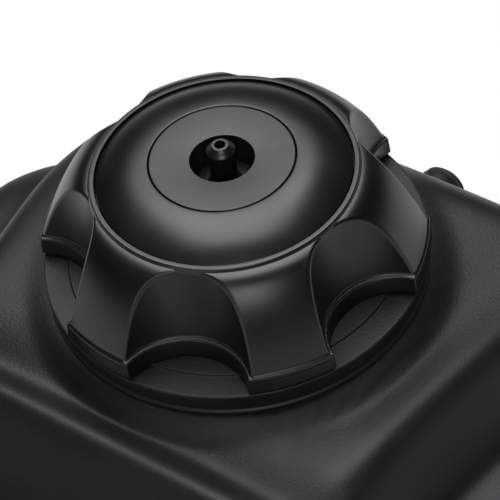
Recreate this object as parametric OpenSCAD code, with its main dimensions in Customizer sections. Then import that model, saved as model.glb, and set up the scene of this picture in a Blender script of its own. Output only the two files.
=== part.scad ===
// Fuel tank for a small off-road motorcycle: a blow-moulded saddle shell with a welded
// filler neck, a scalloped screw cap with a vent nipple, a flange-mounted fuel tap and
// rubber-bushed mounts. X points forward, Y to the rider's left, Z up, feet on Z = 0.

/* [Tank shell] */
// Wall of the blow-moulded shell
wall = 4; // [3:0.1:5]
// Reach of the shell ahead of the filler axis
shell_front = 120; // [112:1:130]
// Reach of the shell behind the filler axis
shell_rear = 160; // [150:1:175]
// Height of the deck at the filler
deck_z = 140.6; // [132:0.1:150]
// Filler axis to the ridge behind it
deck_rear = 52; // [50:0.5:56]
// Filler axis to the ridge ahead of it
deck_front = 48; // [46:0.5:52]
// Half width of the deck at the filler
deck_half = 57; // [53:0.5:62]
// Widening of the deck from the filler to the front ridge
deck_flare = 9; // [5:0.5:12]
// Drop of the deck from its middle to its side ridges
deck_crown = 8.5; // [6:0.1:11]
// Height of the step from the side ridge down to the groove
groove_drop = 19; // [15:0.5:23]
// Width of the step from the side ridge out to the groove
groove_run = 8.5; // [6:0.1:11]
// Width of the shelf outside the groove
shelf_run = 21; // [17:0.5:25]
// Half width of the shell at the belly
belly_half = 108; // [100:0.5:116]
// Half width of the shell at the tail
tail_half = 58; // [52:0.5:64]
// Height of the top of the tail
tail_z = 82; // [78:0.5:88]
// Height of the top of the seat platform at the foot of the rear ramp
seat_z = 104; // [98:0.5:110]
// Height of the top of the nose
nose_z = 69; // [66:0.5:71]
// Height of the underside of the tail
tail_keel = 52; // [48:0.5:54]
// Half width between the outer edges of the two feet
foot_half = 76; // [70:0.5:82]

/* [Frame tunnel] */
// Half width of the tunnel over the frame backbone
tunnel_half = 33; // [29:0.5:36]
// Height of the tunnel roof under the filler
tunnel_roof = 76; // [70:0.5:82]
// Depth of the recess for the steering head
head_recess = 22; // [16:0.5:28]
// Half width of the recess for the steering head
head_recess_half = 30; // [24:0.5:36]

/* [Filler neck] */
// Radius of the bore that the nozzle enters
neck_bore_r = 23; // [20:0.1:24]
// Wall of the threaded neck
neck_wall = 3.2; // [2.5:0.1:3.5]
// Height of the threaded neck above the flange
neck_h = 14.8; // [13:0.1:17]
// Radius of the collar flange
collar_r = 45.5; // [43:0.1:47]
// Thickness of the collar flange
collar_h = 6.2; // [5:0.1:8]
// Radius of the raised land on the collar
land_r = 39.7; // [36:0.1:42]
// Height of the raised land on the collar
land_h = 0.5; // [0.3:0.1:1.2]
// Inset of the moulded pad under the collar
pad_inset = 2.2; // [1:0.1:4]
// Height of the pad above the deck
pad_rise = 0.6; // [0.3:0.1:2]
// Width of the flare from the pad down to the deck
pad_run = 6.2; // [4:0.1:8]
// Height the flare falls by
pad_fall = 6.8; // [4:0.1:8]
// Length of the spigot that plugs into the shell
spigot_len = 9; // [7:0.5:12]

/* [Cap] */
// Radius of the band round the foot of the grip
cap_r = 45.9; // [44:0.1:48]
// Height of the band
band_h = 4.7; // [3.5:0.1:6]
// Step from the band in to the flare
band_step = 0.9; // [0.5:0.1:1.4]
// Height of the flare from the band up to the rim
flare_h = 19.1; // [17:0.1:21]
// Power of the flare's curve
flare_power = 1.9; // [1.6:0.05:2.2]
// Radius of the rim round the cover
rim_r = 30.9; // [30:0.1:32]
// Width of the rim
rim_w = 1.4; // [1.2:0.1:2]
// Height of the rim above the flare
rim_h = 1; // [0.6:0.1:1.5]
// Number of scallops
scallops = 6; // [5:1:6]
// Radius of a scallop
scallop_r = 15.8; // [14:0.1:16.5]
// Depth of the scallops in from the band, measured at the rim
scallop_in = 14.4; // [13.5:0.1:14.5]
// Draft of the scallops in degrees
scallop_draft = 7.2; // [4:0.1:9]
// Turn of the closed cap in degrees
cap_turn_at_rest = 20.4; // [0:0.1:60]
// Wall of the grip
grip_wall = 2.2; // [1.6:0.1:2.6]
// Radius of the centre disc
centre_r = 16.6; // [14:0.1:19]
// Radius of the well round the vent nipple
well_r = 7.45; // [6.5:0.05:8.5]
// Height of the centre disc above the rim's foot
crown_h = 4; // [3:0.1:5]
// Thickness of the cover
cover_t = 2.2; // [1.6:0.1:2.6]
// Gap between the cap's foot and the raised land
cap_gap = 0.3; // [0.2:0.1:1]
// Thickness of the gasket
gasket_t = 2.4; // [1.6:0.1:3]
// Thickness of the insert's roof
insert_t = 2.5; // [2:0.1:3]
// Wall of the insert's threaded skirt
insert_wall = 2.4; // [2:0.1:2.8]
// Gap between the threads of the neck and of the insert
thread_gap = 0.3; // [0.2:0.05:0.5]

/* [Vent nipple] */
// Radius of the vent bore
vent_bore_r = 1.3; // [1:0.05:1.6]
// Radius of the nipple's stem
vent_stem_r = 3.05; // [2.8:0.05:3.2]
// Radius of the nipple's barb
vent_barb_r = 3.3; // [3.25:0.05:3.6]
// Length of the barb's land, where the hose seals
vent_land = 0.8; // [0.6:0.1:1.4]
// Length of the nipple's tapered nose
vent_nose = 1.6; // [1.2:0.1:2]
// Height of the nipple above the centre disc
vent_rise = 3.9; // [3:0.1:6]

/* [Fuel tap] */
// Distance of the tap's face behind the filler axis
tap_behind = 84; // [82:0.5:86]
// Height of the tap's axis
tap_z = 24; // [22:0.5:27]
// Distance of the tap's axis from the middle of the tank
tap_y = 62; // [58:0.5:66]
// Distance between the tap's two screws
tap_screw_gap = 34; // [32:0.5:36]
// Thickness of the tap's flange
tap_flange_t = 5; // [4:0.1:7]
// Half height of the tap's flange
tap_flange_half = 11; // [10:0.1:12]
// Thickness of the flange gasket
tap_gasket_t = 1.5; // [1:0.1:2]
// Radius of the tap's body
tap_body_r = 13; // [12:0.1:14]
// Half length of the tap's body
tap_body_half = 9; // [8:0.1:11]
// Radius of the outlet spigot
outlet_r = 3.6; // [3:0.1:4.2]
// Length of the outlet spigot
outlet_len = 20; // [16:0.5:26]
// Radius of the barb on the outlet
outlet_barb_r = 4.4; // [3.8:0.1:4.8]
// Length of the barb's land, where the hose seals
outlet_land = 2; // [1:0.1:3]
// Radius of the bore through the outlet
outlet_bore_r = 2.2; // [1.6:0.1:2.6]
// Length of the lever from its axis
lever_len = 21; // [18:0.5:22]
// Length of the strainer inside the shell
strainer_len = 26; // [20:0.5:32]
// Height of the standpipe's open end above the tap's axis
standpipe_rise = 32; // [24:0.5:36]

/* [Mounts] */
// Radius of the bolt bore in the rear tongue
rear_bolt_r = 3.2; // [3:0.05:3.4]
// Radius of the bolt bore in the front ear
front_bolt_r = 2.7; // [2.5:0.05:3]
// Wall of the steel sleeves
sleeve_wall = 1; // [0.8:0.1:1.4]
// Wall of the grommets round the sleeves
grommet_wall = 1.6; // [1.4:0.1:2]
// Wall of the lugs round the grommets
lug_wall = 1.8; // [1.4:0.1:2.4]
// Thickness of the mounting lugs
lug_t = 6; // [5.5:0.1:7]
// Length of the rear tongue behind the shell
rear_lug = 24; // [22:0.5:30]
// Height of the middle of the rear tongue
rear_lug_z = 71; // [69:0.5:72]
// Height of the bolt in the front ear above the nose
front_bolt_rise = 10.4; // [10.4:0.1:12]
// Setback of the front ear from the recess in the nose
ear_setback = 2.7; // [1.5:0.1:3]
// Radius of the bosses for the shroud screws
boss_r = 8; // [7:0.1:9]
// Height of the shroud bosses
boss_z = 62; // [58:0.5:66]
// Distance of the rear shroud bosses ahead of the filler axis
boss_ahead = 12; // [8:0.5:16]
// Distance from the rear shroud bosses to the front ones
boss_span = 40; // [36:0.5:42]
// Reach of the rear shroud bosses past the flank's share of the belly
boss_reach = 14.3; // [14.2:0.1:16]
// Step from the tops of the rear shroud bosses in to the front ones
boss_step = 1.5; // [1:0.1:1.6]
// Radius of the thread in the shroud inserts
shroud_thread_r = 2.5; // [2:0.05:3]
// Length of the shroud inserts
shroud_insert_len = 7; // [6:0.1:7]

/* [Hidden] */
$fn = 72;
fit = 0.1;
air = 0.3;

// Colours of the mouldings, metals and rubbers
black_hdpe = "#26282a";
black_nylon = "#1d1e20";
black_rubber = "#161617";
alloy = "#a9abad";
steel = "#b9bcbf";
brass = "#b8964e";

// The box is centred on X, so the filler axis lies ahead of its middle
tank_rear = shell_rear + rear_lug;
filler_x = (tank_rear - shell_front) / 2;
pad_z = deck_z + pad_rise;
collar_z = pad_z + collar_h;
cap_z = collar_z + land_h + cap_gap;
crease_z = cap_z + band_h;
rim_z = crease_z + flare_h;

// Profile curves of the shell along its length, each as places and values
crown_curve = [[-shell_rear, tail_z], [-deck_rear - 34, seat_z], [-deck_rear - 12, deck_z - 20],
    [-deck_rear + 1, deck_z - 4], [-deck_rear + 9, deck_z - 8.5], [-deck_rear + 19, deck_z - 3],
    [-16, deck_z], [16, deck_z], [deck_front - 12, deck_z], [deck_front, deck_z - 1],
    [deck_front + 8, deck_z - 10], [deck_front + 36, nose_z + 5], [shell_front, nose_z]];
deck_curve = [[-shell_rear, tail_half - 22], [-deck_rear - 12, deck_half - 13], [-deck_rear, deck_half - 8.5],
    [-22, deck_half - 5], [0, deck_half], [18, deck_half + deck_flare * 0.55],
    [deck_front - 8, deck_half + deck_flare], [deck_front, deck_half + deck_flare],
    [shell_front, deck_half - 3]];
ridge_curve = [[-shell_rear, 5], [-deck_rear - 12, 5], [-deck_rear + 12, deck_crown - 2.5], [0, deck_crown],
    [deck_front, deck_crown], [shell_front, 6]];
groove_curve = [[-shell_rear, 3], [-deck_rear - 58, 8], [-deck_rear - 12, groove_drop - 1],
    [-22, groove_drop + 2], [0, groove_drop], [16, groove_drop + 1], [deck_front - 8, groove_drop + 8],
    [deck_front + 12, groove_drop + 10], [shell_front, 8]];
shelf_curve = [[-shell_rear, 8], [-deck_rear - 58, 10], [-deck_rear - 12, shelf_run - 7],
    [-22, shelf_run - 3], [0, shelf_run], [deck_front - 8, shelf_run - 6], [deck_front + 12, shelf_run - 8],
    [shell_front, 12]];
belly_curve = [[-shell_rear, tail_half], [-shell_rear + 20, tail_half + 6], [-110, belly_half - 34],
    [-80, belly_half - 18], [-50, belly_half - 6], [0, belly_half], [40, belly_half - 1],
    [80, belly_half - 8], [shell_front - 10, belly_half - 22], [shell_front, belly_half - 26]];
keel_curve = [[-shell_rear, tail_keel], [-110, tail_keel - 6], [-84, tail_keel - 12], [-74, tail_keel - 22],
    [-66, 10], [-58, 0], [60, 0], [80, 6], [96, 22], [shell_front, 38]];
foot_curve = [[-shell_rear, tail_half - 16], [-110, foot_half - 22], [-70, foot_half - 8], [-40, foot_half],
    [60, foot_half], [96, foot_half - 8], [shell_front, foot_half - 14]];
roof_curve = [[-shell_rear, tail_keel + 1], [-110, tail_keel + 6], [0, tunnel_roof], [60, tunnel_roof - 6],
    [shell_front, nose_z - 20]];
tunnel_curve = [[-shell_rear, tunnel_half - 11], [-60, tunnel_half - 2], [60, tunnel_half],
    [shell_front, tunnel_half]];

// Places of the control sections along the shell, closer together at the two ridges
stations = [-shell_rear + 12, -138, -114, -deck_rear - 40, -deck_rear - 26, -deck_rear - 14, -deck_rear - 5.5,
    -deck_rear + 1, -deck_rear + 9, -deck_rear + 19, -16, 6, deck_front - 22, deck_front - 10,
    deck_front - 1, deck_front + 6, deck_front + 16, deck_front + 30, deck_front + 46, shell_front - 10];
// Rows of the net left off each end of the cavity
inner_trim = 3.5;
// Shares by which the end sections draw in to round the ends of the shell
end_insets = [0.44, 0.34, 0.18, 0.05];

// Half of the outside of a control section, from the deck's middle out and down to the foot
function outer_half(u) =
    let(c = lookup(u, crown_curve), d = lookup(u, deck_curve), drop = lookup(u, ridge_curve), e = c - drop,
        g = e - lookup(u, groove_curve), yg = d + groove_run, ys = yg + lookup(u, shelf_curve),
        k = lookup(u, keel_curve), b = max(lookup(u, belly_curve), ys + 3))
    [[0, c], [0.45 * d, c - 0.06 * drop], [0.8 * d, c - 0.45 * drop], [d - 2, e + 1.2], [d + 3, e - 4],
     [yg, g + 2.5], [yg + 4, g], [ys - 6, g + 1], [ys + 2, g - 4], [b, k + 0.55 * (g - k) + 8],
     [b - 3, k + 0.25 * (g - k)], [lookup(u, foot_curve), k]];

// Half of the inside of a control section, from the foot up the tunnel wall to the roof's middle
function inner_half(u) =
    let(k = lookup(u, keel_curve), f = lookup(u, foot_curve), t = lookup(u, tunnel_curve),
        r = lookup(u, roof_curve), squareness = 1 - 0.5 * min(1, (r - k) / 40))
    concat([for (q = [0.25, 0.5, 0.8]) [f + (t - f) * q, k]],
        [for (i = [0:7]) let(a = 90 * i / 8)
            [t * pow(cos(a), squareness), k + (r - k) * pow(sin(a), 0.8)]], [[0, r]]);

// Ends bowed in plan: a recess for the steering head in front, rounded corners behind
recess_run = 60;
tail_run = 50;
tail_bow = 10;
function smooth_step(t) = let(c = max(0, min(1, t))) c * c * (3 - 2 * c);
function bow(u, y) =
    let(f = smooth_step((u - shell_front + recess_run) / recess_run),
        b = max(0, min(1, (-u - shell_rear + tail_run) / tail_run)))
    u - head_recess * f * exp(-pow(y / head_recess_half, 2)) + tail_bow * b * b * pow(y / tail_half, 2);

// Whole control section at u, drawn in towards its own middle line by a share
function control_ring(u, inset) =
    let(o = outer_half(u), i = inner_half(u), n = len(o),
        right = concat([for (k = [0:n - 1]) o[k] + (i[n - 1 - k] - o[k]) * inset / 2],
            [for (k = [0:n - 1]) i[k] + (o[n - 1 - k] - i[k]) * inset / 2]),
        left = [for (k = [2 * n - 2:-1:1]) [-right[k][0], right[k][1]]])
    [for (p = concat(right, left)) [filler_x + bow(u, p[0]), p[0], p[1]]];

control_net = concat([for (s = end_insets) control_ring(-shell_rear, s)],
    [for (u = stations) control_ring(u, 0)],
    [for (i = [len(end_insets) - 1:-1:0]) control_ring(shell_front, end_insets[i])]);

// Cubic B-spline weights, and the smooth surface through the control net
function weights(t) =
    [pow(1 - t, 3), 3 * pow(t, 3) - 6 * t * t + 4, -3 * pow(t, 3) + 3 * t * t + 3 * t + 1, pow(t, 3)] / 6;
function net_row(i) = let(n = len(control_net))
    i < 0 ? 2 * control_net[0] - control_net[1]
    : i > n - 1 ? 2 * control_net[n - 1] - control_net[n - 2] : control_net[i];
function blend_rows(u) = let(i = min(floor(u), len(control_net) - 2), w = weights(u - i))
    w[0] * net_row(i - 1) + w[1] * net_row(i) + w[2] * net_row(i + 1) + w[3] * net_row(i + 2);
function blend_round(row, v) = let(n = len(row), i = floor(v), w = weights(v - i))
    w[0] * row[(i + n - 1) % n] + w[1] * row[i % n] + w[2] * row[(i + 1) % n] + w[3] * row[(i + 2) % n];
function shell_grid(rows, sides, trim = 0) = let(last = len(control_net) - 1 - 2 * trim)
    [for (i = [0:rows - 1]) let(row = blend_rows(trim + last * i / (rows - 1)))
        [for (j = [0:sides - 1]) blend_round(row, len(row) * j / sides)]];

// The same surface moved inwards by a distance
function unit(v) = v / norm(v);
function inward_grid(g, d) = let(rows = len(g), sides = len(g[0]))
    [for (i = [0:rows - 1]) [for (j = [0:sides - 1])
        let(along = g[min(i + 1, rows - 1)][j] - g[max(i - 1, 0)][j],
            round = g[i][(j + 1) % sides] - g[i][(j + sides - 1) % sides])
        g[i][j] + d * unit(cross(round, along))]];

// Closed solid over a grid of rings, its ends closed from the outside to the tunnel side
module ring_solid(g) {
    rows = len(g);
    sides = len(g[0]);
    half = sides / 2;
    quarter = half / 2;
    points = [for (ring = g) for (p = ring) p];
    skin = [for (i = [0:rows - 2]) for (j = [0:sides - 1]) let(k = (j + 1) % sides)
        each [[i * sides + j, i * sides + k, (i + 1) * sides + k],
              [i * sides + j, (i + 1) * sides + k, (i + 1) * sides + j]]];
    function end_cap(base, flip) = [for (j = [0:quarter - 1])
        let(a = [j, j + 1, half - j - 1, half - j],
            b = [(sides - j) % sides, half + j, half + j + 1, sides - j - 1],
            tri = j == quarter - 1 ? [[a[0], a[1], a[3]], [b[0], b[1], b[3]]]
                : [[a[0], a[1], a[2]], [a[0], a[2], a[3]], [b[0], b[1], b[2]], [b[0], b[2], b[3]]])
        for (t = tri) flip ? [base + t[0], base + t[2], base + t[1]] : [for (q = t) base + q]];
    polyhedron(points, concat(skin, end_cap(0, true), end_cap((rows - 1) * sides, false)), convexity = 8);
}

outer_grid = shell_grid(50, 56);
// Stretches of the outside that the tongue, the bosses and the ear stand on
function stretch(first, last) = [for (i = [first:last]) outer_grid[i]];
tail_stretch = stretch(0, 12);
flank_stretch = stretch(24, 40);
nose_stretch = stretch(36, len(outer_grid) - 1);
// Depth to which the pad and the lugs reach into the shell
pad_root = 14;
lug_root = 14;
tongue_flare = 5;
// Length of a cut that passes any wall here
through = 40;

// Fuel tap: its flange face stands behind the left lobe of the shell
tap_face_x = filler_x - tap_behind;
tap_flange_x = tap_face_x - tap_gasket_t - tap_flange_t;
tap_body_x = tap_flange_x - tap_body_r - 3;
outlet_end_x = tap_body_x - tap_body_r - outlet_len;
tap_pad_depth = 30;
tap_hub_r = 6.4;
tap_hub_end = tap_face_x + tap_pad_depth + 4;
tap_screw_r = 3;
tap_insert_r = 4.2;
tap_insert_len = 10;
tap_head_r = 5.6;
tap_head_h = 4;
tap_washer_t = 1.2;
packing_t = 3;
lever_disc_t = 4;
wave_t = 0.8;
plate_t = 1.4;
valve_r = tap_body_r - 3.2;
valve_y = tap_y + tap_body_half - packing_t - lever_disc_t;
plate_y = tap_y + tap_body_half;
plate_screw_r = tap_body_r + 0.6;
plate_ear_r = 3.4;
plate_thread_r = 1.5;
plate_head_r = 2.8;
plate_head_h = 1.8;
stem_r = 4.5;
lever_hub_r = 8;
lever_t = 5;
lever_tip_r = 4;

// Mounts: a sleeve in a grommet in each lug
function sleeve_r(bolt) = bolt + sleeve_wall;
function groove_r(bolt) = sleeve_r(bolt) + grommet_wall;
function lug_r(bolt) = groove_r(bolt) + lug_wall;
lip = 1.2;
lip_t = 1.5;
sleeve_flange_t = 1;
front_bolt_z = nose_z + front_bolt_rise;
front_lug_x = filler_x + shell_front - head_recess - lug_t - ear_setback;
rear_bolt_x = -tank_rear / 2 - shell_front / 2 + lug_r(rear_bolt_r);

// Shroud bosses, as places along and tops across the tank
boss_h = 16;
// Share of the belly's half width that the flank follows at their height
flank_share = 0.9;
boss_top = flank_share * belly_half + boss_reach;
boss_tops = [[filler_x + boss_ahead, boss_top], [filler_x + boss_ahead + boss_span, boss_top - boss_step]];

module along_x(x, y, z) {
    translate([x, y, z]) rotate([0, 90, 0]) children();
}

module along_y(x, y, z) {
    translate([x, y, z]) rotate([-90, 0, 0]) children();
}

module ring(r_out, r_in, h) {
    difference() {
        cylinder(r = r_out, h = h);
        translate([0, 0, -1]) cylinder(r = r_in, h = h + 2);
    }
}

// Rounded bar across Y, half_gap each way from the middle, half as high as r, h thick along X
module flange_plate(half_gap, r, h) {
    along_x(0, 0, 0) linear_extrude(h) union() {
        for (s = [-1, 1]) translate([0, s * half_gap]) circle(r - 2);
        circle(r);
        square([2 * (r - 2), 2 * half_gap], center = true);
    }
}

// Pad under the collar, flaring down into the deck
module filler_pad() {
    steps = 5;
    pad_r = collar_r - pad_inset;
    translate([filler_x, 0, 0]) rotate_extrude() polygon(concat(
        [[0, deck_z - pad_root], [pad_r + pad_run, deck_z - pad_root]],
        [for (i = [steps:-1:0]) let(s = i / steps)
            [pad_r + pad_run * s, pad_z - pad_fall * (1 - pow(1 - s, 2))]],
        [[0, pad_z]]));
}

module tank_shell() {
    inner = inward_grid(shell_grid(28, 48, inner_trim), wall);
    color(black_hdpe) difference() {
        union() {
            ring_solid(outer_grid);
            filler_pad();
            translate([tap_face_x, tap_y, tap_z])
                flange_plate(tap_screw_gap / 2, tap_flange_half, tap_pad_depth);
        }
        ring_solid(inner);
        translate([filler_x, 0, deck_z - through / 2])
            cylinder(r = neck_bore_r + neck_wall + fit, h = through);
        along_x(tap_face_x - 1, tap_y, tap_z) cylinder(r = tap_hub_r + air, h = through);
        for (s = [-1, 1]) along_x(tap_face_x - 1, tap_y + s * tap_screw_gap / 2, tap_z)
            cylinder(r = tap_insert_r, h = tap_insert_len + 1);
    }
}

// Flat tongue welded to the tail, for a bolt down into the frame
module rear_tongue() {
    r = lug_r(rear_bolt_r);
    root = rear_bolt_x + rear_lug + lug_root;
    color(black_hdpe) difference() {
        translate([0, 0, rear_lug_z - lug_t / 2]) linear_extrude(lug_t) union() {
            translate([rear_bolt_x, 0]) circle(r);
            polygon([[rear_bolt_x, -r], [root, -r - tongue_flare], [root, r + tongue_flare],
                [rear_bolt_x, r]]);
        }
        translate([rear_bolt_x, 0, rear_lug_z - lug_t]) cylinder(r = groove_r(rear_bolt_r), h = 2 * lug_t);
        ring_solid(tail_stretch);
    }
}

// Upright ear welded on the nose, for a bolt through to the steering head
module front_ear() {
    r = lug_r(front_bolt_r);
    color(black_hdpe) difference() {
        along_x(front_lug_x, 0, 0) linear_extrude(lug_t) union() {
            translate([-front_bolt_z, 0]) circle(r);
            translate([-front_bolt_z, -r]) square([front_bolt_rise + lug_root, 2 * r]);
        }
        along_x(front_lug_x - lug_t, 0, front_bolt_z) cylinder(r = groove_r(front_bolt_r), h = 3 * lug_t);
        ring_solid(nose_stretch);
    }
}

module at_shroud_bosses() {
    for (top = boss_tops, s = [-1, 1])
        translate([top[0], s * top[1], boss_z]) rotate([s * 90, 0, 0]) children();
}

// Round bosses welded to the flanks, for the screws of the radiator shrouds
module shroud_bosses() {
    color(black_hdpe) difference() {
        at_shroud_bosses() cylinder(r = boss_r, h = boss_h);
        at_shroud_bosses() translate([0, 0, -1]) cylinder(r = tap_insert_r, h = shroud_insert_len + 1);
        ring_solid(flank_stretch);
    }
}

module filler_neck() {
    r_out = neck_bore_r + neck_wall;
    edge = 0.7;
    color(black_hdpe) translate([filler_x, 0, 0]) rotate_extrude() polygon([
        [neck_bore_r, pad_z - spigot_len], [r_out, pad_z - spigot_len], [r_out, pad_z],
        [collar_r - edge, pad_z], [collar_r, pad_z + edge], [collar_r, collar_z - edge],
        [collar_r - edge, collar_z], [land_r, collar_z], [land_r - land_h, collar_z + land_h],
        [r_out + 2, collar_z + land_h], [r_out, collar_z + land_h + 2],
        [r_out, collar_z + neck_h - edge], [r_out - edge, collar_z + neck_h],
        [neck_bore_r + edge, collar_z + neck_h], [neck_bore_r, collar_z + neck_h - edge]]);
}

// Cap, drawn about its own axis with its parts stacked up from the neck's lip
lip_z = collar_z + neck_h;
insert_z = lip_z + gasket_t;
ledge_z = insert_z + insert_t;
cover_z = rim_z - 1.6;
crease_r = cap_r - band_step;
cover_r = rim_r - rim_w - air;
insert_r = neck_bore_r + neck_wall + thread_gap;
scallop_axis_r = cap_r - scallop_in + scallop_r;

function flare_z(r, r_rim, r_foot) = rim_z - flare_h * pow((r - r_rim) / (r_foot - r_rim), flare_power);

module on_cap_axis() {
    translate([filler_x, 0, 0]) rotate(cap_turn_at_rest) children();
}

module scallop_cutters(r) {
    for (i = [0:scallops - 1]) rotate(i * 360 / scallops) translate([scallop_axis_r, 0, rim_z])
        rotate([0, -scallop_draft, 0]) translate([0, 0, -flare_h - band_h - 10])
            cylinder(r = r, h = flare_h + band_h + through);
}

module cap_grip() {
    steps = 9;
    inner_rim = rim_r - 2;
    inner_foot = crease_r - grip_wall;
    color(black_nylon) on_cap_axis() difference() {
        union() {
            difference() {
                rotate_extrude() polygon(concat([[0, crease_z - 0.5], [crease_r, crease_z - 0.5]],
                    [for (i = [steps:-1:0]) let(r = rim_r + (crease_r - rim_r) * i / steps)
                        [r, flare_z(r, rim_r, crease_r)]],
                    [[rim_r - rim_h, rim_z + rim_h], [0, rim_z + rim_h]]));
                scallop_cutters(scallop_r);
            }
            difference() {
                translate([0, 0, cap_z]) cylinder(r1 = cap_r, r2 = cap_r - band_step / 2, h = band_h);
                scallop_cutters(scallop_r - band_step);
            }
        }
        difference() {
            rotate_extrude() polygon(concat([[0, cap_z - 1], [inner_foot, cap_z - 1]],
                [for (i = [steps:-1:0]) let(r = inner_rim + (inner_foot - inner_rim) * i / steps)
                    [r, flare_z(r, inner_rim, inner_foot) - rim_z + ledge_z]], [[0, ledge_z]]));
            scallop_cutters(scallop_r + grip_wall);
        }
        translate([0, 0, ledge_z - 1]) cylinder(r = rim_r - rim_w - 3.5, h = 20);
        translate([0, 0, cover_z]) cylinder(r = rim_r - rim_w, h = 20);
        translate([0, 0, cap_z - 1]) cylinder(r = insert_r + insert_wall + fit, h = ledge_z - cap_z + 1);
    }
}

module cap_cover() {
    steps = 8;
    edge = 0.3;
    edge_z = rim_z + 0.4;
    seat_r = rim_r - rim_w - 3.5;
    color(black_nylon) on_cap_axis() rotate_extrude() polygon(concat(
        [[centre_r + fit, rim_z + crown_h - cover_t], [seat_r - 1, edge_z - cover_t / 2],
         [seat_r - 1, cover_z], [cover_r, cover_z], [cover_r, edge_z - edge]],
        [for (i = [steps:-1:0]) let(t = i / steps) [centre_r + fit + (cover_r - edge - centre_r - fit) * t,
            edge_z + (rim_z + crown_h - edge_z) * (1 - pow(t, 2.2))]]));
}

module cap_centre_disc() {
    well_wall = 1.6;
    color(black_nylon) on_cap_axis() rotate_extrude() polygon([
        [well_r, ledge_z], [well_r + well_wall, ledge_z], [well_r + well_wall, rim_z + crown_h - cover_t],
        [centre_r, rim_z + crown_h - cover_t], [centre_r, rim_z + crown_h - 0.3],
        [centre_r - 0.3, rim_z + crown_h],
        [well_r + 0.6, rim_z + crown_h - 0.4], [well_r, rim_z + crown_h - 0.9]]);
}

module vent_nipple() {
    top = rim_z + crown_h + vent_rise;
    land_top = top - vent_nose;
    tip_r = vent_bore_r + 0.55;
    color(black_nylon) on_cap_axis() rotate_extrude() polygon([
        [vent_bore_r, ledge_z], [well_r - air, ledge_z], [well_r - air, ledge_z + 1.4],
        [vent_stem_r + 1, ledge_z + 1.4], [vent_stem_r, ledge_z + 2.4],
        [vent_stem_r, land_top - vent_land - fit], [vent_barb_r, land_top - vent_land],
        [vent_barb_r, land_top], [tip_r, top], [vent_bore_r, top]]);
}

// Cup that screws onto the neck; its roof carries the grip and the vent
module cap_insert() {
    skirt_z = collar_z + land_h + 4;
    r_out = insert_r + insert_wall;
    color(black_nylon) on_cap_axis() rotate_extrude() polygon([
        [vent_bore_r, insert_z], [insert_r, insert_z], [insert_r, skirt_z], [r_out, skirt_z],
        [r_out, ledge_z], [vent_bore_r, ledge_z]]);
}

module cap_gasket() {
    color(black_rubber) translate([filler_x, 0, lip_z]) ring(insert_r - air, neck_bore_r - 1.5, gasket_t);
}

module tap_body() {
    block = tap_body_half - 0.5;
    color(alloy) difference() {
        union() {
            translate([tap_flange_x, tap_y, tap_z])
                flange_plate(tap_screw_gap / 2, tap_flange_half, tap_flange_t);
            along_x(tap_body_x, tap_y, tap_z) cylinder(r = block, h = tap_flange_x - tap_body_x + 1);
            along_y(tap_body_x, tap_y - tap_body_half, tap_z) cylinder(r = tap_body_r, h = 2 * tap_body_half);
            for (s = [-1, 1]) along_y(tap_body_x, tap_y, tap_z + s * plate_screw_r)
                cylinder(r = plate_ear_r, h = tap_body_half);
            along_x(outlet_end_x + 3, tap_y, tap_z) cylinder(r = outlet_r, h = outlet_len + 1);
            along_x(outlet_end_x, tap_y, tap_z) cylinder(r1 = outlet_r - 0.6, r2 = outlet_barb_r, h = 3);
            along_x(outlet_end_x + 3, tap_y, tap_z) cylinder(r = outlet_barb_r, h = outlet_land);
            along_x(tap_body_x - tap_body_r - 2, tap_y, tap_z) cylinder(r = outlet_r + 3, h = 6);
            along_x(tap_flange_x, tap_y, tap_z) cylinder(r = tap_hub_r, h = tap_hub_end - tap_flange_x);
        }
        along_y(tap_body_x, valve_y, tap_z) cylinder(r = valve_r, h = through);
        along_x(outlet_end_x - 1, tap_y, tap_z) cylinder(r = outlet_bore_r, h = outlet_len + tap_body_r - 1);
        along_x(tap_body_x + 3, tap_y, tap_z) cylinder(r = pipe_r + fit, h = tap_hub_end - tap_body_x);
        for (s = [-1, 1]) along_x(tap_flange_x - through / 2, tap_y + s * tap_screw_gap / 2, tap_z)
            cylinder(r = tap_screw_r + air, h = through);
        for (s = [-1, 1]) along_y(tap_body_x, tap_y - 1, tap_z + s * plate_screw_r)
            cylinder(r = plate_thread_r, h = through);
    }
}

module tap_flange_gasket() {
    color(black_rubber) difference() {
        translate([tap_face_x - tap_gasket_t, tap_y, tap_z])
            flange_plate(tap_screw_gap / 2, tap_flange_half, tap_gasket_t);
        along_x(tap_face_x - 5, tap_y, tap_z) cylinder(r = tap_hub_r + fit, h = 10);
        for (s = [-1, 1]) along_x(tap_face_x - 5, tap_y + s * tap_screw_gap / 2, tap_z)
            cylinder(r = tap_screw_r + air, h = 10);
    }
}

module at_tap_screws() {
    for (s = [-1, 1]) along_x(tap_flange_x, tap_y + s * tap_screw_gap / 2, tap_z) children();
}

module tap_screws() {
    shank = tap_washer_t + tap_flange_t + tap_gasket_t + tap_insert_len - 1;
    color(steel) at_tap_screws() translate([0, 0, -tap_washer_t]) union() {
        translate([0, 0, -tap_head_h]) cylinder(r = tap_head_r, h = tap_head_h, $fn = 6);
        cylinder(r = tap_screw_r - fit, h = shank);
    }
}

module tap_washers() {
    color(steel) at_tap_screws() translate([0, 0, -tap_washer_t])
        ring(tap_head_r + 0.6, tap_screw_r + air, tap_washer_t);
}

module tap_threaded_inserts() {
    color(brass) for (s = [-1, 1]) along_x(tap_face_x, tap_y + s * tap_screw_gap / 2, tap_z)
        ring(tap_insert_r - fit / 2, tap_screw_r, tap_insert_len);
}

// Brass pickup pipe: along the hub, round a bend and up, so that fuel is left for reserve
pipe_r = 2.6;
pipe_bore_r = 1.9;
bend_r = 8;
pipe_end_x = tap_hub_end + strainer_len + 3;

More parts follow.
